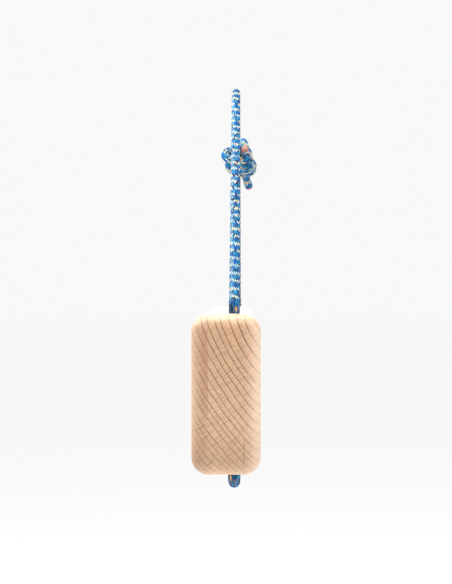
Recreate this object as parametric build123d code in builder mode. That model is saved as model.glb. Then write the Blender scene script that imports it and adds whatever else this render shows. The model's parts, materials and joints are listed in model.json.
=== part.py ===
from build123d import *
import math
import os

os.makedirs("parts", exist_ok=True)

# Driving dimensions, mm and degrees.
# X = 0 is the plane of the cord, the board runs along Y, and the origin is the
# inside of the bight, where the cord hangs on a hook or a branch.
cord_d = 6.0
bore_d = 8.0
board_len = 472.0
board_w = 38.0
board_h = 88.0
edge_r = 9.3
bore_from_end = 25.0
bore_off = 4.4
mouth_c = 1.0
leg_angle = 35.0
hook_r = 6.0
bend_drop = 7.6
bend_back = 55.0
slot_depth = 23.0
slot_web = 8.0
slot_lip_r = 1.8
slot_floor_r = 3.0
slot_end_wall = 9.0
slot_corner_r = 12.0
knot_down = 0.295
wrap_pitch = 0.8 * cord_d
tail_upper_len = 2.0
tail_lower_len = 14.0
tail_lower_out = 3.0
tail_lower_droop = 2.0
joint_gap = 0.3

# Sizes that follow from them.
cord_r = cord_d / 2
leg = math.radians(leg_angle)
half_span = board_len / 2 - bore_from_end
bend_r = hook_r + cord_r
peak_z = bend_r / math.cos(leg) - hook_r
pivot_z = peak_z - half_span * math.tan(leg)
top_z = pivot_z - cord_r - joint_gap - 0.2
bottom_z = top_z - board_h
mid_z = (top_z + bottom_z) / 2
mid_x = -bore_off
front_x = mid_x - board_w / 2

near_pivot = Vector(0, -half_span, pivot_z)
far_pivot = Vector(0, half_span, pivot_z)
near_top = Vector(0, -bend_r * math.sin(leg), bend_r * math.cos(leg) - hook_r)
far_top = Vector(0, bend_r * math.sin(leg), bend_r * math.cos(leg) - hook_r)
knot_mid = Vector(0, half_span * knot_down, peak_z - half_span * knot_down * math.tan(leg))
down_leg = Vector(0, math.cos(leg), -math.sin(leg))
knot_plane = Plane(origin=knot_mid, x_dir=(1, 0, 0), z_dir=down_leg)


def arc_radius(a, b, c, share=0.45):
    """The arc at b that takes up this share of the shorter run next to it."""
    before = b - a
    after = c - b
    half = math.radians(before.get_angle(after)) / 2
    return share * min(before.length, after.length) / math.tan(half)


# Board: one piece of beech, every edge rounded, bored from top to bottom near each end.
# The finger edges are two long pockets milled into the -X face.
with BuildPart() as board:
    with Locations((mid_x, 0, mid_z)):
        Box(board_w, board_len, board_h)
    fillet(board.edges(), edge_r)
    with Locations((0, -half_span, mid_z), (0, half_span, mid_z)):
        Cylinder(bore_d / 2, board_h + 2, mode=Mode.SUBTRACT)
    with Locations((0, -half_span, top_z - mouth_c / 2 + 0.1), (0, half_span, top_z - mouth_c / 2 + 0.1)):
        Cone(bore_d / 2, bore_d / 2 + mouth_c + 0.2, mouth_c + 0.2, mode=Mode.SUBTRACT)
    with Locations((0, -half_span, bottom_z + mouth_c / 2 - 0.1), (0, half_span, bottom_z + mouth_c / 2 - 0.1)):
        Cone(bore_d / 2 + mouth_c + 0.2, bore_d / 2, mouth_c + 0.2, mode=Mode.SUBTRACT)
    slot_len = board_len - 2 * (bore_from_end + bore_d / 2 + slot_end_wall)
    slot_margin = edge_r + slot_lip_r + 0.1
    slot_h = (board_h - 2 * slot_margin - slot_web) / 2
    upper_slot_z = top_z - slot_margin - slot_h / 2
    lower_slot_z = bottom_z + slot_margin + slot_h / 2
    slot_plane = Plane(origin=(front_x, 0, 0), x_dir=(0, 1, 0), z_dir=(1, 0, 0))
    with BuildSketch(slot_plane):
        with Locations((0, upper_slot_z), (0, lower_slot_z)):
            RectangleRounded(slot_len, slot_h, slot_corner_r)
    extrude(amount=slot_depth, mode=Mode.SUBTRACT)
    slot_floor_edges = board.edges().filter_by_position(
        Axis.X, front_x + slot_depth - 0.01, front_x + slot_depth + 0.01
    )
    fillet(slot_floor_edges, slot_floor_r)
    slot_mouth_edges = board.edges().filter_by_position(Axis.X, front_x - 0.01, front_x + 0.01)
    slot_mouth_edges = slot_mouth_edges.filter_by_position(
        Axis.Z, bottom_z + edge_r + 0.02, top_z - edge_r - 0.02
    )
    slot_mouth_edges = slot_mouth_edges.filter_by_position(
        Axis.Y, -slot_len / 2 - 0.1, slot_len / 2 + 0.1
    )
    fillet(slot_mouth_edges, slot_lip_r)
board.part.label = "board"
export_step(board.part, "parts/board.step")

# Cord in the near bore, from just under the pivot to inside the lower mouth.
bore_cord_top = pivot_z - cord_r - joint_gap
bore_cord_low = bottom_z + 1.0
with BuildPart() as cord_in_near_bore:
    with BuildSketch(Plane(origin=(0, -half_span, bore_cord_low))):
        Circle(cord_r)
    extrude(amount=bore_cord_top - bore_cord_low)
cord_in_near_bore.part.label = "cord_in_near_bore"
export_step(cord_in_near_bore.part, "parts/cord_in_near_bore.step")

# Cord in the far bore.
with BuildPart() as cord_in_far_bore:
    with BuildSketch(Plane(origin=(0, half_span, bore_cord_low))):
        Circle(cord_r)
    extrude(amount=bore_cord_top - bore_cord_low)
cord_in_far_bore.part.label = "cord_in_far_bore"
export_step(cord_in_far_bore.part, "parts/cord_in_far_bore.step")

# Cord under the board: a tight turn at each lower mouth and a taut run between them.
under_z = bottom_z - cord_r - 0.1
under_points = [
    Vector(0, -half_span, bore_cord_low),
    Vector(0, -half_span, bottom_z - bend_drop),
    Vector(0, -half_span + bend_back, under_z),
    Vector(0, half_span - bend_back, under_z),
    Vector(0, half_span, bottom_z - bend_drop),
    Vector(0, half_span, bore_cord_low),
]
turn_r = 0.86 * (bend_drop + 1.0) / math.tan(
    math.radians((under_points[1] - under_points[0]).get_angle(under_points[2] - under_points[1])) / 2
)
ease_r = arc_radius(under_points[1], under_points[2], under_points[3])
with BuildPart() as cord_under_run:
    with BuildLine() as under_line:
        FilletPolyline(*under_points, radius=[turn_r, ease_r, ease_r, turn_r])
    with BuildSketch(Plane(origin=under_line.wire() @ 0, z_dir=under_line.wire() % 0)):
        Circle(cord_r)
    sweep(path=under_line.wire())
cord_under_run.part.label = "cord_under_run"
export_step(cord_under_run.part, "parts/cord_under_run.step")

# Near leg: taut and straight from the bight to the near pivot, where its end is round.
with BuildPart() as cord_near_leg:
    with BuildSketch(Plane(origin=near_top, z_dir=near_pivot - near_top)):
        Circle(cord_r)
    extrude(amount=(near_pivot - near_top).length)
    with Locations(near_pivot):
        Sphere(cord_r)
cord_near_leg.part.label = "cord_near_leg"
export_step(cord_near_leg.part, "parts/cord_near_leg.step")

# Bight: the turn over the hook.
with BuildPart() as cord_bight:
    with BuildLine(Plane.YZ) as bight_line:
        CenterArc((0, -hook_r), bend_r, 90 - leg_angle, 2 * leg_angle)
    with BuildSketch(Plane(origin=bight_line.wire() @ 0, z_dir=bight_line.wire() % 0)):
        Circle(cord_r)
    sweep(path=bight_line.wire())
cord_bight.part.label = "cord_bight"
export_step(cord_bight.part, "parts/cord_bight.step")

# Far leg above the knot.
with BuildPart() as cord_far_leg_upper:
    with BuildSketch(Plane(origin=far_top, z_dir=down_leg)):
        Circle(cord_r)
    extrude(amount=(knot_mid - far_top).length)
cord_far_leg_upper.part.label = "cord_far_leg_upper"
export_step(cord_far_leg_upper.part, "parts/cord_far_leg_upper.step")

# Far leg below the knot, with the round end at the far pivot.
with BuildPart() as cord_far_leg_lower:
    with BuildSketch(Plane(origin=knot_mid, z_dir=down_leg)):
        Circle(cord_r)
    extrude(amount=(far_pivot - knot_mid).length)
    with Locations(far_pivot):
        Sphere(cord_r)
cord_far_leg_lower.part.label = "cord_far_leg_lower"
export_step(cord_far_leg_lower.part, "parts/cord_far_leg_lower.step")

# Upper barrel of the bend: two turns of the lower strand round the upper strand and its own tail.
with BuildPart() as knot_upper_wraps:
    for turn in range(2):
        ring_plane = knot_plane.offset(-turn * wrap_pitch - cord_r - 0.05)
        with BuildLine(ring_plane) as ring_line:
            Line((0, cord_d), (cord_d, cord_d))
            CenterArc((cord_d, 0), cord_d, 90, -180)
            Line((cord_d, -cord_d), (0, -cord_d))
            CenterArc((0, 0), cord_d, 270, -180)
        with BuildSketch(Plane(origin=ring_line.wire() @ 0, z_dir=ring_line.wire() % 0)):
            Circle(cord_r)
        sweep(path=ring_line.wire())
knot_upper_wraps.part.label = "knot_upper_wraps"
export_step(knot_upper_wraps.part, "parts/knot_upper_wraps.step")

# Lower barrel: two turns of the upper strand round the lower strand and its own tail.
with BuildPart() as knot_lower_wraps:
    for turn in range(2):
        ring_plane = knot_plane.offset(turn * wrap_pitch + cord_r + 0.05)
        with BuildLine(ring_plane) as ring_line:
            Line((0, cord_d), (cord_d, cord_d))
            CenterArc((cord_d, 0), cord_d, 90, -180)
            Line((cord_d, -cord_d), (0, -cord_d))
            CenterArc((0, 0), cord_d, 270, -180)
        with BuildSketch(Plane(origin=ring_line.wire() @ 0, z_dir=ring_line.wire() % 0)):
            Circle(cord_r)
        sweep(path=ring_line.wire())
knot_lower_wraps.part.label = "knot_lower_wraps"
export_step(knot_lower_wraps.part, "parts/knot_lower_wraps.step")

# Tail of the lower strand, which ends just clear of the upper barrel, beside the far leg.
barrel_len = wrap_pitch + cord_d + 0.4
tail_start = knot_plane.from_local_coords(Vector(cord_d, 0, 0))
tail_upper_end = knot_plane.from_local_coords(Vector(cord_d, 0, -barrel_len - tail_upper_len))
with BuildPart() as tail_upper:
    with BuildSketch(Plane(origin=tail_start, z_dir=-down_leg)):
        Circle(cord_r)
    extrude(amount=barrel_len + tail_upper_len)
tail_upper.part.label = "tail_upper"
export_step(tail_upper.part, "parts/tail_upper.step")

# Tail of the upper strand, which leaves the lower barrel and hangs out to the side.
tail_lower_points = [
    tail_start,
    knot_plane.from_local_coords(Vector(cord_d, 0, barrel_len + 1.5)),
    knot_plane.from_local_coords(
        Vector(cord_d + tail_lower_out, tail_lower_droop, barrel_len + 1.5 + tail_lower_len)
    ),
]
tail_lower_r = arc_radius(*tail_lower_points)
with BuildPart() as tail_lower:
    with BuildLine() as tail_lower_line:
        FilletPolyline(*tail_lower_points, radius=tail_lower_r)
    with BuildSketch(Plane(origin=tail_lower_line.wire() @ 0, z_dir=tail_lower_line.wire() % 0)):
        Circle(cord_r)
    sweep(path=tail_lower_line.wire())
tail_lower.part.label = "tail_lower"
export_step(tail_lower.part, "parts/tail_lower.step")

# Heat-sealed end of the upper tail.
with BuildPart() as sealed_end_upper:
    with BuildSketch(Plane(origin=tail_upper_end, z_dir=-down_leg)):
        Circle(cord_r - 0.05)
    extrude(amount=2.0)
    fillet(sealed_end_upper.edges(), 0.7)
sealed_end_upper.part.label = "sealed_end_upper"
export_step(sealed_end_upper.part, "parts/sealed_end_upper.step")

# Heat-sealed end of the lower tail.
with BuildPart() as sealed_end_lower:
    with BuildSketch(Plane(origin=tail_lower_line.wire() @ 1, z_dir=tail_lower_line.wire() % 1)):
        Circle(cord_r - 0.05)
    extrude(amount=2.0)
    fillet(sealed_end_lower.edges(), 0.7)
sealed_end_lower.part.label = "sealed_end_lower"
export_step(sealed_end_lower.part, "parts/sealed_end_lower.step")

for name, line, made in (
    ("cord_under_run", under_line, cord_under_run),
    ("cord_bight", bight_line, cord_bight),
    ("tail_lower", tail_lower_line, tail_lower),
):
    section = math.pi * cord_r**2
    share = made.part.volume / (section * line.wire().length)
    print(name, "length", round(line.wire().length, 1), "volume share", round(share, 4))
print("arc radii: bight", bend_r, "lower mouths", round(turn_r, 2), "ease", round(ease_r, 1))
print("arc radii: lower tail", round(tail_lower_r, 1))
print("pivot z", round(pivot_z, 3), "top z", round(top_z, 3), "bottom z", round(bottom_z, 3))
print("slot: height", round(slot_h, 2), "length", slot_len, "z", round(upper_slot_z, 2), round(lower_slot_z, 2))
print("board volume", round(board.part.volume), "centre of mass", board.part.center(CenterOf.MASS))
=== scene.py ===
import json
import math

import bpy
import numpy as np
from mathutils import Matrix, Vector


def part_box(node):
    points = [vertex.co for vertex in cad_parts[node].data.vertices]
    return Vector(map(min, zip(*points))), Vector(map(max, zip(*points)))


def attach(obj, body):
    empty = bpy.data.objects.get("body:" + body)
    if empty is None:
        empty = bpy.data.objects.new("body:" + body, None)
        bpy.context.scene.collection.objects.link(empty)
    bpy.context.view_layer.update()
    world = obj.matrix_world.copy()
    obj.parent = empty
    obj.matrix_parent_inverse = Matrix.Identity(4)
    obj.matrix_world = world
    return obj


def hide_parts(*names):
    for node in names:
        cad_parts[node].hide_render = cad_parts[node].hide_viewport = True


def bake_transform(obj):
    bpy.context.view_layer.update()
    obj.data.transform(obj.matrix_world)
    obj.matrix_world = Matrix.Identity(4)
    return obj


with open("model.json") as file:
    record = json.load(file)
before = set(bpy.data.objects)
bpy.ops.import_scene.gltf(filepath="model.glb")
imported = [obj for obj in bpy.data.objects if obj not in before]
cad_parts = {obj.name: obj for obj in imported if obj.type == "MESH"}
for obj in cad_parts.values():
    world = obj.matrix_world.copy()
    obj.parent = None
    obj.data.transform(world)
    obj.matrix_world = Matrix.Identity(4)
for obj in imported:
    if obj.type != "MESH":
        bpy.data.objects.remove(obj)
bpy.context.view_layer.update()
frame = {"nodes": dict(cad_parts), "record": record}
mm = 0.001

# Where the board and its hinge stand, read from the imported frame.
board_low, board_high = (np.array(corner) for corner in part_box("board"))
board_mid = (board_low + board_high) / 2
pivot_z = frame["record"]["behaviour"]["joints"][0]["pos_m"][2]


# ---------------------------------------------------------------------------
# Studio. The board hangs in front of a white sweep; the camera is level, near
# the height of the board's top face, and looks along the board at its near end.
# ---------------------------------------------------------------------------
scene = bpy.context.scene
camera_data = bpy.data.cameras.new("studio_camera")
camera_data.sensor_width = 36
camera_data.lens = 97.4
camera_data.clip_start, camera_data.clip_end = 0.05, 100
camera = bpy.data.objects.new("studio_camera", camera_data)
scene.collection.objects.link(camera)
stand_off, eye_height, side_step, left_turn = 856 * mm, 12 * mm, 5.1 * mm, math.radians(0.63)
camera.location = (side_step, board_low[1] - stand_off, board_high[2] + eye_height)
camera.rotation_euler = (math.radians(90), 0, left_turn)
scene.camera = camera
scene.view_settings.view_transform = "Standard"

world = bpy.data.worlds.new("studio_world")
world.use_nodes = True
sweep = world.node_tree.nodes["Background"]
sweep.inputs["Color"].default_value = (1, 1, 1, 1)
sweep.inputs["Strength"].default_value = 0.94
scene.world = world


def softbox(name, place, aim, width, height, power):
    """A rectangular area light at place, turned so that it shines at aim."""
    data = bpy.data.lights.new(name, "AREA")
    data.shape, data.size, data.size_y, data.energy = "RECTANGLE", width, height, power
    lamp = bpy.data.objects.new(name, data)
    scene.collection.objects.link(lamp)
    lamp.location = place
    away = lamp.location - type(lamp.location)(aim)
    lamp.rotation_euler = away.to_track_quat("Z", "Y").to_euler()
    lamp.visible_camera = False


softbox("top_softbox", (-0.1, -0.1, 0.95), (0, -0.1, -0.15), 0.9, 1.2, 21)
softbox("back_softbox", (-0.1, 1.9, 0.35), (0, 0, -0.15), 1.4, 0.5, 14)
softbox("left_softbox", (-0.8, -0.1, 0.5), (0, -0.1, 0.0), 0.4, 0.4, 1.6)
softbox("cord_softbox", (-0.38, 0.0, 0.12), (0, 0, -0.02), 0.25, 0.25, 1.7)
softbox("right_softbox", (1.5, -0.6, 0.1), (0, -0.2, -0.2), 0.8, 1.2, 6)


# ---------------------------------------------------------------------------
# Cord route. One length of 6 mm accessory cord, taut from its bend knot down
# the far leg, through the far bore, under the board, up the near bore, over
# the hook and back to the knot. Each leg meets the board at a bore's mouth.
# ---------------------------------------------------------------------------
cord_r = 3 * mm
half_span = 211 * mm
slope = math.radians(35)
six_diameters = 12 * cord_r
bottom_z = board_low[2]
leg_length = half_span / math.cos(slope)
peak = np.array([0, 0, pivot_z + half_span * math.tan(slope)])
down_near = np.array([0, -math.cos(slope), -math.sin(slope)])
down_far = np.array([0, math.cos(slope), -math.sin(slope)])
knot_down = 0.295  # share of the far leg between the hook and the knot
knot_mid = peak + down_far * leg_length * knot_down
knot_axes = np.array([[1, 0, 0], [0, -math.sin(slope), -math.cos(slope)], down_far])


def strand_in_knot(side, lean):
    """
    One strand through its half of a fisherman's bend, from its standing part to its tail.
    It leaves the axis at the middle, rides back over its barrel, makes its turns round the other
    strand and its own tail on an ellipse, and passes out through them. side is the barrel's end.
    """
    turn = np.radians(np.arange(-45, 346, 30))
    centre = 1.7 + 1.4 * side
    along = np.linspace(9.0, 3.6, len(turn)) + 1.2 * side * np.cos(turn)
    wraps = np.stack([centre + 8.8 * np.cos(turn), 6.0 * np.sin(turn), along], axis=1)
    lead_in = [
        (0, 0, -36), (0, 0, -9), (0, -0.6, -3.5), (2.6 * lean, -5.8, 0.2),
        (3.2 * lean, -10.6, 3.2), (1 + 1.5 * lean, -11.4, 7.0), (5.5, -9.6, 10.4),
    ]
    inside = [
        (centre + 8.8, 1.5, 3.2), (centre + 8.0, 5.2, 2.8), (5.0, 6.2, 3.0),
        (4.4, 1.8, 4.2), (6, 0, 7.4), (6, 0, 10),
    ]
    local = np.concatenate([lead_in, wraps, inside]) * [1, 1, side]
    return knot_mid + local * mm @ knot_axes


upper_tail = knot_mid + np.array([(6, 0, -11), (6.1, 0.1, -13.4)]) * mm @ knot_axes
lower_tail = knot_mid + np.array([(6, 0, 13), (7.2, 0.8, 19), (9, 2, 26.6)]) * mm @ knot_axes


def side_of_board(sign):
    """From 6 diameters above the mouth, round its edge, down the bore and out below, on one end."""
    mouth = np.array([0, sign * half_span, pivot_z])
    up_leg = np.array([0, -sign * math.cos(slope), math.sin(slope)])
    return np.array([
        mouth + up_leg * six_diameters,
        mouth + up_leg * 6.2 * mm,
        mouth,
        mouth - [0, 0, 6.2 * mm],
        [0, sign * half_span, bottom_z + 24 * mm],
        [0, sign * half_span, bottom_z + 7 * mm],
        [0, sign * half_span, bottom_z - 6.8 * mm],
        [0, sign * (half_span - 12.6 * mm), bottom_z - 6.4 * mm],
        [0, sign * 180 * mm, bottom_z - 5.0 * mm],
        [0, sign * 156 * mm, bottom_z - 3.3 * mm],
    ])


over_hook = np.array([peak + down_near * six_diameters, peak + down_near * 12.6 * mm, peak,
                      peak + down_far * 12.6 * mm])
route = np.concatenate([
    upper_tail[::-1],
    strand_in_knot(-1, 1)[::-1],
    side_of_board(1),
    side_of_board(-1)[::-1],
    over_hook,
    strand_in_knot(1, -1),
    lower_tail,
])

curve = bpy.data.curves.new("cord_route", "CURVE")
curve.dimensions = "3D"
curve.resolution_u = 12
spline = curve.splines.new("NURBS")
spline.points.add(len(route) - 1)
spline.points.foreach_set("co", np.column_stack([route, np.ones(len(route))]).ravel())
spline.order_u = 3
spline.use_endpoint_u = True
route_object = bpy.data.objects.new("cord_route", curve)
route_mesh = bpy.data.meshes.new_from_object(route_object)
smooth = np.zeros(len(route_mesh.vertices) * 3)
route_mesh.vertices.foreach_get("co", smooth)
smooth = smooth.reshape(-1, 3)
bpy.data.meshes.remove(route_mesh)
bpy.data.objects.remove(route_object)
bpy.data.curves.remove(curve)

# Stations about every third of a millimetre along the route, each with its distance from the start.
station_gap = 0.36 * mm
travel = np.concatenate([[0], np.cumsum(np.linalg.norm(np.diff(smooth, axis=0), axis=1))])
distance = np.linspace(0, travel[-1], int(travel[-1] / station_gap))
station = np.stack([np.interp(distance, travel, smooth[:, k]) for k in range(3)], axis=1)
heading = np.gradient(station, axis=0)
blur = np.ones(5) / 5
heading = np.stack(
    [np.convolve(np.pad(heading[:, k], 2, "edge"), blur, "valid") for k in range(3)], axis=1
)
heading /= np.linalg.norm(heading, axis=1, keepdims=True)


def carried_side(heading):
    """A unit vector square to the route at each station, carried along with no twist of its own."""
    side = np.zeros_like(heading)
    last = np.cross(heading[0], [0, 0, 1])
    for k, ahead in enumerate(heading):
        last = last - ahead * (last @ ahead)
        last = last / math.sqrt(last @ last)
        side[k] = last
    return side


side_axis = carried_side(heading)
lift_axis = np.cross(heading, side_axis)

# The sheath is braided: carriers run both ways round, over one and under one.
carriers = 16
lay_length = 50 * mm
around_count = 64
braid_depth = 0.16 * mm
swell_reach = 6 * mm


def braid_height(around, along):
    """
    Height of a plain braid, 0 to 1. Carriers of one hand follow carriers*(around + along/lay) and those
    of the other hand carriers*(around - along/lay); on each diamond the upper one is a crowned ridge.
    """
    right = carriers * (around + along / lay_length)
    left = carriers * (around - along / lay_length)
    crown_right = 1 - (2 * (right % 1) - 1) ** 2
    crown_left = 1 - (2 * (left % 1) - 1) ** 2
    over = (np.floor(right) + np.floor(left)) % 2
    return np.where(
        over > 0.5, crown_right * (0.55 + 0.45 * crown_left), crown_left * (0.55 + 0.45 * crown_right)
    )


def grid_mesh(name, rows, uv_rows, uv_columns):
    """
    A closed tube from rows of points: quads between neighbouring rings, wrapped round,
    and a fan to a centre point at each end. The UV map is (share of the way round, metres along).
    """
    count, ring = rows.shape[:2]
    centres = rows[[0, -1]].mean(axis=1)
    points = np.concatenate([rows.reshape(-1, 3), centres])
    i, j = np.meshgrid(np.arange(count - 1), np.arange(ring), indexing="ij")
    corner_i = np.stack([i, i, i + 1, i + 1], axis=-1)
    corner_j = np.stack([j, j + 1, j + 1, j], axis=-1)
    quads = (corner_i * ring + corner_j % ring).reshape(-1)
    quad_uv = np.stack([uv_columns[corner_j], uv_rows[corner_i]], axis=-1).reshape(-1, 2)
    j = np.arange(ring)
    first = np.stack([np.full(ring, count * ring), (j + 1) % ring, j], axis=1)
    last = np.stack([np.full(ring, count * ring + 1), j, (j + 1) % ring], axis=1)
    last[:, 1:] += (count - 1) * ring
    loops = np.concatenate([quads, first.ravel(), last.ravel()])
    cap_uv = np.concatenate([
        np.tile([[0.5, uv_rows[0]]], (3 * ring, 1)), np.tile([[0.5, uv_rows[-1]]], (3 * ring, 1))
    ])
    sizes = np.concatenate([np.full(len(quads) // 4, 4), np.full(2 * ring, 3)])
    starts = np.concatenate([[0], np.cumsum(sizes)[:-1]])
    mesh = bpy.data.meshes.new(name)
    mesh.vertices.add(len(points))
    mesh.vertices.foreach_set("co", points.ravel())
    mesh.loops.add(len(loops))
    mesh.loops.foreach_set("vertex_index", loops.astype(np.int32))
    mesh.polygons.add(len(sizes))
    mesh.polygons.foreach_set("loop_start", starts.astype(np.int32))
    mesh.update(calc_edges=True)
    mesh.validate()
    mesh.polygons.foreach_set("use_smooth", np.ones(len(sizes), bool))
    uv = mesh.uv_layers.new(name="sheath")
    uv.data.foreach_set("uv", np.concatenate([quad_uv, cap_uv]).ravel())
    piece = bpy.data.objects.new(name, mesh)
    scene.collection.objects.link(piece)
    return piece


def nearest_station(point):
    return int(np.argmin(np.linalg.norm(station - point, axis=1)))


mouth_at = distance[[
    nearest_station([0, sign * half_span, height])
    for sign in (1, -1) for height in (pivot_z, bottom_z - 4 * mm)
]]
# The cord is pressed a little wider at each mouth, more where it turns under the board.
mouth_swell = np.array([0.08, 0.17, 0.08, 0.17])


def cord_tube(name, first, last):
    """
    The stretch of cord between two stations: radius = 3 mm, less up to 0.16 mm between the carriers,
    times 1 + s exp(-(d / 6 mm)^2), where d is the distance along the cord from a mouth and s its swell.
    """
    here = slice(first, last + 1)
    share = np.arange(around_count) / around_count
    height = braid_height(share[None, :], distance[here, None])
    swell = 1 + np.exp(-((distance[here, None] - mouth_at) / swell_reach) ** 2) @ mouth_swell
    radius = ((cord_r - braid_depth * (1 - height)) * swell[:, None])[..., None]
    angle = 2 * math.pi * share[None, :, None]
    out = np.cos(angle) * side_axis[here, None] + np.sin(angle) * lift_axis[here, None]
    rows = station[here, None] + radius * out
    return grid_mesh(name, rows, distance[here], np.arange(around_count + 1) / around_count)


far_low = nearest_station([0, half_span, bottom_z + 3 * mm])
near_low = nearest_station([0, -half_span, bottom_z + 3 * mm])
hook_top = nearest_station(peak)
end = len(station) - 1
cord_far_side = cord_tube("cord_far_side", 0, far_low)
cord_under = cord_tube("cord_under", far_low, near_low)
cord_near_side = cord_tube("cord_near_side", near_low, hook_top)
cord_knot_side = cord_tube("cord_knot_side", hook_top, end)


# Shader notation. A Field is a number that varies over a surface; sums and
# products of Fields add the Math nodes they stand for. A Shade is one material.
class Field:
    def __init__(self, shade, socket):
        self.shade, self.socket = shade, socket

    def math(self, operation, *values):
        made = self.shade.node("Math", {"operation": operation}, dict(enumerate(values or (self,))))
        return Field(self.shade, made.outputs[0])

    def __add__(self, other):
        return self.math("ADD", self, other)

    def __sub__(self, other):
        return self.math("SUBTRACT", self, other)

    def __rsub__(self, other):
        return self.math("SUBTRACT", other, self)

    def __mul__(self, other):
        return self.math("MULTIPLY", self, other)

    def __truediv__(self, other):
        return self.math("DIVIDE", self, other)

    def __pow__(self, other):
        return self.math("POWER", self, other)

    __radd__, __rmul__ = __add__, __mul__

    def floor(self):
        return self.math("FLOOR", self)

    def cycle(self, length):
        return self.math("FLOORED_MODULO", self, length)

    def step(self, low, high):
        """0 below low, 1 above high, and a smooth S between them."""
        made = self.shade.node(
            "MapRange", {"interpolation_type": "SMOOTHSTEP"},
            {"Value": self, "From Min": low, "From Max": high},
        )
        return Field(self.shade, made.outputs[0])


class Shade:
    """A material that is being written: every node in it comes from node()."""

    def __init__(self, name):
        self.material = bpy.data.materials.new(name)
        self.material.use_nodes = True
        self.tree = self.material.node_tree
        self.surface = self.tree.nodes["Principled BSDF"]

    def join(self, socket, value):
        if isinstance(value, Field):
            value = value.socket
        if isinstance(value, bpy.types.NodeSocket):
            self.tree.links.new(value, socket)
        else:
            socket.default_value = value

    def node(self, kind, settings, sockets):
        made = self.tree.nodes.new("ShaderNode" + kind)
        for key, value in settings.items():
            setattr(made, key, value)
        for key, value in sockets.items():
            self.join(made.inputs[key], value)
        return made

    def parts(self, vector):
        made = self.node("SeparateXYZ", {}, {0: vector})
        return [Field(self, out) for out in made.outputs]

    def vector(self, x, y, z):
        return self.node("CombineXYZ", {}, {0: x, 1: y, 2: z}).outputs[0]

    def noise(self, vector, detail=2.0, roughness=0.5):
        settings = {"noise_dimensions": "3D"}
        sockets = {"Vector": vector, "Scale": 1.0, "Detail": detail, "Roughness": roughness}
        return Field(self, self.node("TexNoise", settings, sockets).outputs[0])

    def speck(self, vector):
        made = self.node("TexWhiteNoise", {"noise_dimensions": "3D"}, {"Vector": vector})
        return Field(self, made.outputs[0])

    def mix(self, factor, first, second, blend="MIX"):
        settings = {"data_type": "RGBA", "blend_type": blend}
        made = self.node("Mix", settings, {0: factor, 6: first, 7: second})
        return made.outputs[2]

    def bump(self, height, depth, under=None):
        sockets = {"Height": height, "Distance": depth, "Strength": 1.0}
        if under is not None:
            sockets["Normal"] = under
        return self.node("Bump", {}, sockets).outputs[0]

    def finish(self, **sockets):
        for key, value in sockets.items():
            self.join(self.surface.inputs[key.replace("_", " ")], value)
        return self.material


def tone(red, green, blue):
    """A display colour, 0 to 255, as the linear colour that a shader takes."""
    part = np.array([red, green, blue]) / 255
    linear = np.where(part <= 0.04045, part / 12.92, ((part + 0.055) / 1.055) ** 2.4)
    return (*linear.tolist(), 1.0)


# Sheath colours: rows of blue carriers, cobalt and azure, with one full and one broken row
# of cream and gold marker yarns in every five, painted shade in the gaps between the carriers,
# and a painted highlight on the cells that face left, where the light falls from that side.
sheath = Shade("braided_sheath")
half_way = (near_low + hook_top) // 2


def angle_on_cord(way, k):
    """The angle round the cord, in the sheath's own terms, that faces the direction way at station k."""
    return math.atan2(float(np.dot(way, lift_axis[k])), float(np.dot(way, side_axis[k])))


out_angle = angle_on_cord([0, -math.sin(slope), math.cos(slope)], half_way)
left_angle = angle_on_cord([-1, 0, 0], half_way)
band_rows, band_bow = 5, 2.0
keep_positive = 256 * carriers
place = sheath.node("UVMap", {"uv_map": "sheath"}, {}).outputs[0]
around, along, _ = sheath.parts(place)
right = (around + along / lay_length) * carriers + keep_positive
left = (around - along / lay_length) * carriers + keep_positive
right_cell, left_cell = right.floor(), left.floor()
right_share, left_share = right - right_cell, left - left_cell
over = (right_cell + left_cell).cycle(2)
row = right_cell - left_cell
carrier = (over * right_cell + (1 - over) * left_cell).cycle(carriers)
chance = sheath.speck(sheath.vector(carrier, row, over))
chance_two = sheath.speck(sheath.vector(row, carrier + 31, over))
crown_right = 1 - (right_share * 2 - 1) ** 2
crown_left = 1 - (left_share * 2 - 1) ** 2
height = over * crown_right * (crown_left * 0.45 + 0.55)
height = height + (1 - over) * crown_left * (crown_right * 0.45 + 0.55)
across_yarn = over * right_share + (1 - over) * left_share
fibres = (across_yarn * 31).math("SINE") * 0.5 + 0.5
cell_angle = (right_cell + left_cell - 2 * keep_positive) * (math.pi / carriers)
band = (row + (cell_angle - out_angle).math("COSINE") * band_bow + 0.5).cycle(band_rows)
light_row = 1 - band.step(1.1, 1.2)
half_row = band.step(4.3, 4.4) * chance_two.step(0.42, 0.44)
# Cells that face left are painted paler: a painted highlight where the light falls from the left.
painted_left_light = (cell_angle - left_angle).math("COSINE")
painted_left_highlight = painted_left_light.step(0.3, 0.6) * over * chance.step(0.08, 0.1)
blue = sheath.mix(carrier.cycle(4).step(1.4, 1.6), tone(0, 64, 140), tone(0, 118, 160))
blue = sheath.mix(chance.step(0.74, 0.76), blue, tone(1, 12, 42))
blue = sheath.mix(chance_two * 0.25, blue, tone(8, 128, 180))
light = sheath.mix(chance.step(0.2, 0.8), tone(198, 193, 168), tone(138, 172, 180))
light = sheath.mix(chance_two.step(0.9, 0.92), light, tone(206, 168, 114))
light = sheath.mix(chance.step(0.86, 0.88), light, tone(12, 34, 76))
# Painted highlight on the cells that face left.
colour = sheath.mix(painted_left_highlight * 0.6, blue, tone(150, 178, 186))
colour = sheath.mix(half_row, colour, light)
colour = sheath.mix(light_row, colour, light)
gold_rows, gold_turn = 0.6, 1 / 18
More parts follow.
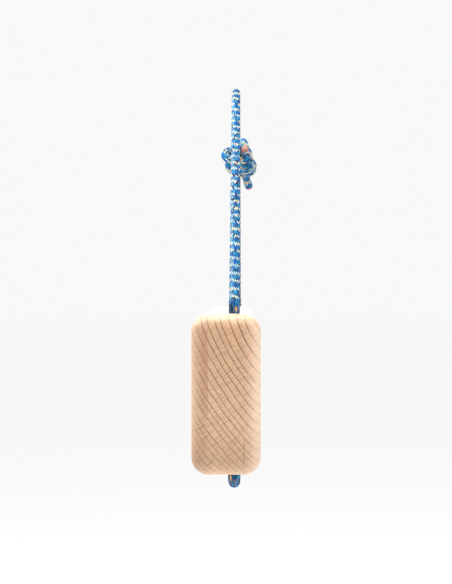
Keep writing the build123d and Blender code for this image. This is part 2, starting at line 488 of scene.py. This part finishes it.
for height_at, way, shade_rows in (
    (pivot_z - 0.3 * mm, [0.15, -1, 0], 3), (bottom_z - 1.6 * mm, [-0.8, -0.7, 0], 7)
):
    # At the near bore's two mouths the cord is painted darker blue, painted shade where it
    # enters the bore and runs under the board, with a few gold cells.
    k = nearest_station([0, -half_span, height_at])
    rows_off = row + 0.5 - float(distance[k]) * 2 * carriers / lay_length
    mouth_shade = (1 - rows_off.math("ABSOLUTE").step(shade_rows - 0.5, shade_rows + 0.5)) * 0.75
    painted_shade_blue = sheath.mix(chance_two.step(0.3, 0.7) * 0.7, blue, tone(1, 12, 60))
    colour = sheath.mix(mouth_shade, colour, painted_shade_blue)
    turned_away = 1 - (cell_angle - angle_on_cord(way, k)).math("COSINE")
    spread = rows_off * rows_off / gold_rows ** 2 + turned_away / gold_turn
    colour = sheath.mix(1 - spread.step(0.9, 1.0), colour, tone(222, 176, 112))
shadow = height.step(0.0, 0.5) * 0.75 + 0.25
colour = sheath.mix(1.0, colour, sheath.vector(shadow, shadow, shadow), "MULTIPLY")
colour = sheath.mix(fibres * 0.02, colour, tone(235, 244, 250))
sheath.finish(
    Base_Color=colour,
    Roughness=0.62 - fibres * 0.1,
    Normal=sheath.bump(height + fibres * 0.12, braid_depth),
)
sheath.surface.inputs["Specular IOR Level"].default_value = 0.06
for piece in (cord_far_side, cord_under, cord_near_side, cord_knot_side):
    piece.data.materials.append(sheath.material)

# The stretch under the board goes with the board, and the stretch from the hook on with the hung loop;
# the two side stretches, through the bores, have their placing baked in and go with neither.
for piece in (cord_far_side, cord_near_side):
    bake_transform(piece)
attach(cord_under, "board")
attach(cord_knot_side, "cord_loop")
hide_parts("cord_far_leg_lower", "cord_in_far_bore", "knot_upper_wraps", "tail_upper")
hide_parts("cord_under_run")
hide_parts("cord_near_leg", "cord_in_near_bore")
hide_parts("cord_bight", "cord_far_leg_upper", "knot_lower_wraps", "tail_lower")


# ---------------------------------------------------------------------------
# Sealed ends. Each tail is cut with a hot knife: the sheath melts into a hard,
# slightly lumpy dome, orange-brown where the core and the sheath have run together.
# ---------------------------------------------------------------------------
def sealed_end(name, at, ahead, side, seed):
    """A dome: radius follows a quarter of a superellipse along the cord, with two low lumps round it."""
    lift = np.cross(ahead, side)
    rise = np.linspace(0, 1, 26)[:, None]
    angle = np.linspace(0, 2 * math.pi, 40, endpoint=False)[None, :]
    radius = 2.98 * mm * (1 - np.maximum(rise * 1.04 - 0.1, 0) ** 3.2) ** (1 / 2.6)
    lumps = 1 + 0.035 * np.sin(2 * angle + seed) * rise + 0.025 * np.sin(5 * angle + 2.3 * seed) * rise
    height = 2.2 * mm * rise * (1 + 0.06 * np.cos(angle + seed)) - 0.3 * mm
    spokes = np.cos(angle)[..., None] * side + np.sin(angle)[..., None] * lift
    rows = at + (radius * lumps)[..., None] * spokes + height[..., None] * ahead
    return grid_mesh(name, rows, np.linspace(0, 1, 26), np.arange(41) / 40)


sealed_upper = sealed_end("sealed_upper", station[0], -heading[0], side_axis[0], 0.7)
sealed_lower = sealed_end("sealed_lower", station[-1], heading[-1], side_axis[-1], 2.1)

melted = Shade("melted_cord_end")
place = melted.node("TexCoord", {}, {}).outputs["Object"]
blotch_place, fine_place = (
    melted.node("VectorMath", {"operation": "SCALE"}, {0: place, "Scale": scale}).outputs[0]
    for scale in (900.0, 3200.0)
)
blotch = melted.noise(blotch_place, 3.0, 0.6)
fine = melted.noise(fine_place)
colour = melted.mix(blotch.step(0.35, 0.65), tone(136, 84, 70), tone(160, 112, 100))
colour = melted.mix(fine.step(0.62, 0.75) * 0.5, colour, tone(96, 60, 52))
melted.finish(
    Base_Color=colour,
    Roughness=0.32 + blotch * 0.25,
    Normal=melted.bump(blotch + fine * 0.3, 0.25 * mm),
)
for piece, node in ((sealed_upper, "sealed_end_upper"), (sealed_lower, "sealed_end_lower")):
    piece.data.materials.append(melted.material)
    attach(piece, "cord_loop")
    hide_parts(node)


# ---------------------------------------------------------------------------
# Board. One piece of steamed beech, rounded with a 9 mm router bit and oiled.
# The near end shows growth rings round a heart far up to the right, with fine
# rays across them; the long faces show long grain with short dark ray flecks.
# ---------------------------------------------------------------------------
board = frame["nodes"]["board"]
ring_width = 3.35 * mm
even_reach, ring_squeeze = 0.22, 700  # rings lie closer together as they get farther from the heart
ray_gap = 1.15 * mm
heart = board_mid + np.array([176 * mm, 0, 130 * mm])
flat_half = 9.7 * mm

beech = Shade("oiled_beech")
place = beech.node("TexCoord", {}, {}).outputs["Object"]
x, y, z = beech.parts(place)
wander = beech.noise(beech.vector(x * 26, y * 3.5, z * 26), 2.0, 0.5)
drift = beech.noise(beech.vector(x * 9 + 5, y * 5, z * 9), 1.0, 0.5)
from_end = (board_high[1] - board_mid[1]) - y.math("ABSOLUTE")
end_pull = (1 - (from_end * -110).math("EXPONENT")) * (2.6 * mm)
across = x - heart[0] + (wander - 0.5) * (4.5 * mm) + y * 0.012
up = z - heart[2] + (drift - 0.5) * (7 * mm) - y * 0.018
reach = (across * across + up * up) ** 0.5 + end_pull
turn = up.math("ARCTAN2", up, across) * float(np.hypot(heart[0] - board_mid[0], heart[2] - board_mid[2]))
uneven = beech.noise(beech.vector(reach * 130, 3.7, 0.0), 1.0, 0.5)
beyond = reach - even_reach
ring = reach / ring_width + beyond * beyond * ring_squeeze + uneven * 1.1
ring_share = ring - ring.floor()
ring_tint = beech.speck(beech.vector(ring.floor(), 2.0, 7.0))
late = ring_share.step(0.7, 0.95) * (1 - ring_share.step(0.97, 1.0))
early = 1 - ring_share.step(0.0, 0.35)
ray_wander = beech.noise(beech.vector(turn * 240, reach * 40, y * 12), 2.0, 0.6)
ray_row = turn / ray_gap + ray_wander * 3.4
ray_share = (ray_row - ray_row.floor() - 0.5).math("ABSOLUTE")
ray_break = beech.noise(beech.vector(turn * 700, y * 300, reach * 210), 1.0, 0.5)
rays = (1 - ray_share.step(0.06, 0.2)) * ray_break.step(0.34, 0.56)
broad_rays = beech.noise(beech.vector(turn * 1500, y * 260, reach * 60 + 9), 1.0, 0.5).step(0.6, 0.72)
pores = beech.noise(beech.vector(x * 3300, y * 190, z * 3300), 1.0, 0.5)
silk = beech.noise(beech.vector(x * 900, y * 28, z * 900), 3.0, 0.6)
cloud = beech.noise(beech.vector(x * 38, y * 7, z * 38), 2.0, 0.55)
normal = beech.node("NewGeometry", {}, {}).outputs["Normal"]
_, normal_y, _ = beech.parts(normal)
end_grain = normal_y.math("ABSOLUTE").step(0.55, 1.0)
height_tint = (z - board_mid[2]).step(-60 * mm, 40 * mm)

colour = beech.mix(cloud.step(0.3, 0.7), tone(210, 180, 149), tone(199, 165, 132))
colour = beech.mix(ring_tint * 0.3, colour, tone(218, 182, 150))
colour = beech.mix(end_grain * height_tint * 0.5, colour, tone(190, 136, 92))
colour = beech.mix(early * 0.3, colour, tone(218, 182, 150))
late_depth = (0.36 + end_grain * 0.5) * (ring_tint * 0.35 + height_tint * 0.3 + 0.68)
colour = beech.mix(late * late_depth, colour, tone(104, 62, 36))
colour = beech.mix(rays * (0.3 + end_grain * 0.38), colour, tone(118, 78, 52))
colour = beech.mix(broad_rays * 0.3, colour, tone(156, 104, 70))
colour = beech.mix(pores.step(0.54, 0.72) * 0.4, colour, tone(146, 100, 70))
colour = beech.mix(silk.step(0.35, 0.7) * 0.2, colour, tone(222, 190, 160))

# Painted shade: a soft brown band down the left round-over of each end, where it turns from the
# light, and a thin painted shadow line low on the right, at the small step where the bit stopped.
side_x = x - board_mid[0]
height_z = z - board_mid[2]
at_end = 1 - from_end.step(7 * mm, 10 * mm)
round_over_shade = side_x.step(-15.0 * mm, -11.2 * mm)
round_over_shade = round_over_shade * (1 - side_x.step(-flat_half - 0.1 * mm, -flat_half + 0.25 * mm))
round_over_shade = round_over_shade * height_z.step(-16 * mm, -8 * mm) * (1 - height_z.step(33 * mm, 38 * mm)) * at_end
round_over_shade = round_over_shade * (silk * 0.7 + 0.55)
# Painted shade at the start of the left round-over.
colour = beech.mix(round_over_shade * 0.42, colour, tone(168, 118, 84))
# A thin dark line at the bit's step: painted shadow in the colour, and a small groove in the relief.
step_groove_and_shadow = side_x.step(flat_half - 0.5 * mm, flat_half - 0.1 * mm)
step_groove_and_shadow = step_groove_and_shadow * (1 - side_x.step(flat_half, flat_half + 0.35 * mm))
step_groove_and_shadow = step_groove_and_shadow * (1 - height_z.step(-28 * mm, -22 * mm)) * at_end
colour = beech.mix(step_groove_and_shadow * 0.45, colour, tone(112, 70, 46))

# The end is painted a little darker towards its left and its foot, painted shade where less light falls.
painted_side_and_foot_shade = (1 - side_x.step(-17 * mm, -7 * mm)) * 0.32 + (1 - height_z.step(-46 * mm, -10 * mm)) * 0.32
colour = beech.mix(painted_side_and_foot_shade * at_end, colour, tone(140, 102, 76))
# Painted highlight: the right of each end is painted lighter, where the light falls from the right.
colour = beech.mix(side_x.step(8 * mm, 17 * mm) * at_end * 0.3, colour, tone(226, 200, 180))

# Painted shade: a dark ring round each bore, where the cord meets the wood.
bore_y = y.math("ABSOLUTE") - half_span
from_bore = (x * x + bore_y * bore_y) ** 0.5
bore_shade = 1 - from_bore.step(4.2 * mm, 6.2 * mm)
colour = beech.mix(bore_shade * 0.55, colour, tone(110, 72, 50))

relief = late * 0.35 + pores.step(0.5, 0.8) * -0.5 + silk * 0.3 - rays * 0.25 - step_groove_and_shadow * 1.5
beech.finish(
    Base_Color=colour,
    Roughness=0.5 + pores * 0.12 - late * 0.06,
    Normal=beech.bump(relief, 0.05 * mm),
)
beech.surface.inputs["Coat Weight"].default_value = 0.15
beech.surface.inputs["Coat Roughness"].default_value = 0.22
board.data.materials.clear()
board.data.materials.append(beech.material)


# ---------------------------------------------------------------------------
# Floor. A plain pale studio floor, well below the hanging board.
# ---------------------------------------------------------------------------
spoke = np.linspace(0, 2 * math.pi, 96, endpoint=False)
floor_r, floor_z = 30, bottom_z - 0.45
floor_points = np.stack(
    [floor_r * np.cos(spoke), floor_r * np.sin(spoke), np.full(len(spoke), floor_z)], axis=1
)
floor_mesh = bpy.data.meshes.new("studio_floor")
floor_mesh.from_pydata(floor_points.tolist(), [], [list(range(len(spoke)))])
floor = bpy.data.objects.new("studio_floor", floor_mesh)
scene.collection.objects.link(floor)
paint = Shade("floor_paint")
place = paint.node("TexCoord", {}, {}).outputs["Object"]
tint = paint.mix(paint.noise(place, 2.0) * 0.5, tone(254, 254, 254), tone(252, 252, 252))
paint.finish(Base_Color=tint)
paint.surface.inputs["Roughness"].default_value = 0.9
floor_mesh.materials.append(paint.material)
